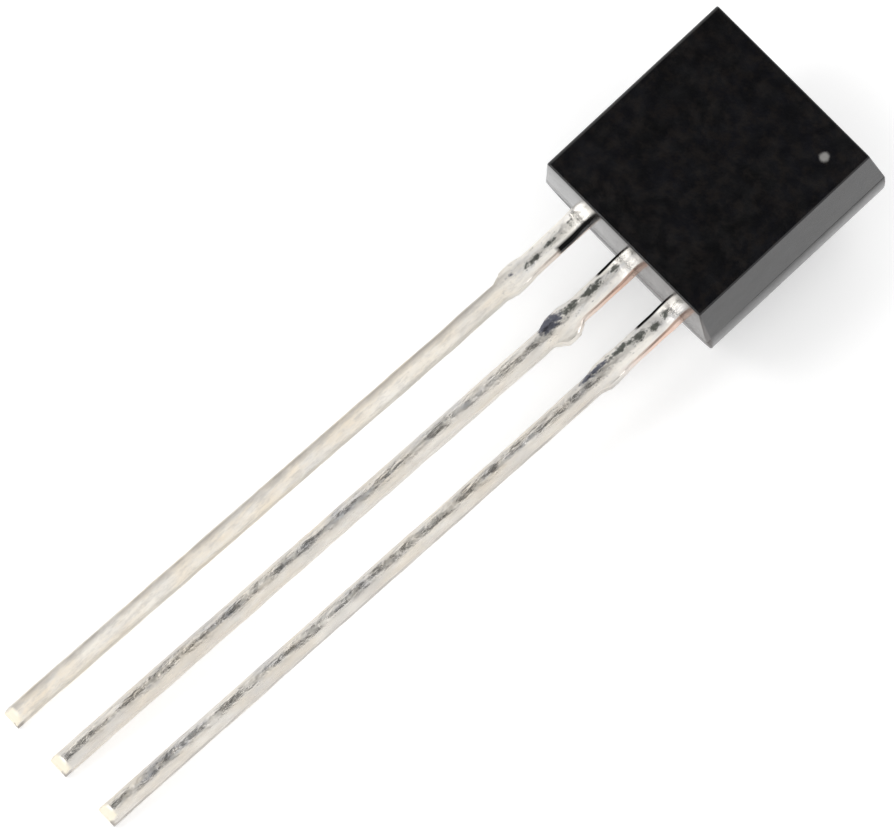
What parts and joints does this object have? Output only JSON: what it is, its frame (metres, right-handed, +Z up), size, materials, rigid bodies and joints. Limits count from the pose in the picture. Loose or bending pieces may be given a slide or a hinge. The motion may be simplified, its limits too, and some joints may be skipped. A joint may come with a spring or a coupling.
{
  "type": "to-92 transistor",
  "caption": "Small signal transistor in a moulded half-round black package with a flat face and long tinned leads in a row, lying flat face up.",
  "frame": {"origin": "bottom centre of the transistor as it lies, flat face up, on the crown of its round back and the tips of its leads", "axes": "+X across the leads from the first to the third, +Y from the lead tips to the top of the body, +Z up; the flat face and the leads are tilted about X by 8.02 degrees, with the tips down"},
  "size_m": [0.0044, 0.0186, 0.0041],
  "materials": {
    "moulding_compound": "black silica-filled epoxy, fine satin mould texture",
    "tinned_copper": "bright dipped tin over copper alloy, gently wavy, duller streaks",
    "silicon": "polished silicon, dark blue grey",
    "bonding_layer": "dull silver-filled adhesive",
    "bond_wire": "drawn gold wire"
  },
  "bodies": {
    "root": {"moulded_body": "moulding_compound", "emitter_lead": "tinned_copper", "base_lead": "tinned_copper", "collector_lead": "tinned_copper", "silicon_die": "silicon", "die_attach": "bonding_layer", "emitter_wire": "bond_wire", "base_wire": "bond_wire"}
  },
  "joints": []
}
